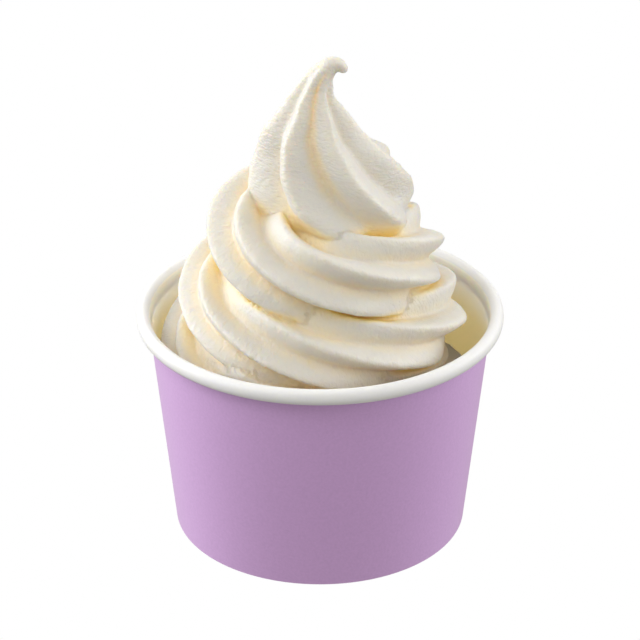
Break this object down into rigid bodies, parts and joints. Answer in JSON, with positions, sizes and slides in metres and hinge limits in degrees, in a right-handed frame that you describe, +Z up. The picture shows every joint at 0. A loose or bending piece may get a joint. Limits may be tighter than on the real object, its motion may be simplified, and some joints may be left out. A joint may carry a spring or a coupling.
{
  "type": "frozen yogurt cup",
  "caption": "Paper cup with a rolled rim, filled with a tall piped swirl of frozen yogurt that ends in a curled tip.",
  "frame": {"origin": "on the ground under the middle of the cup", "axes": "+Z up along the cup's axis, -Y towards the front, +X towards the side the tip curls to"},
  "size_m": [0.096, 0.096, 0.1305],
  "materials": {
    "cup_paper": "matte lilac print outside, white rim and inside",
    "yogurt": "soft satin, slightly translucent ivory"
  },
  "bodies": {
    "root": {"paper_cup": "cup_paper", "frozen_yogurt": "yogurt"}
  },
  "joints": []
}
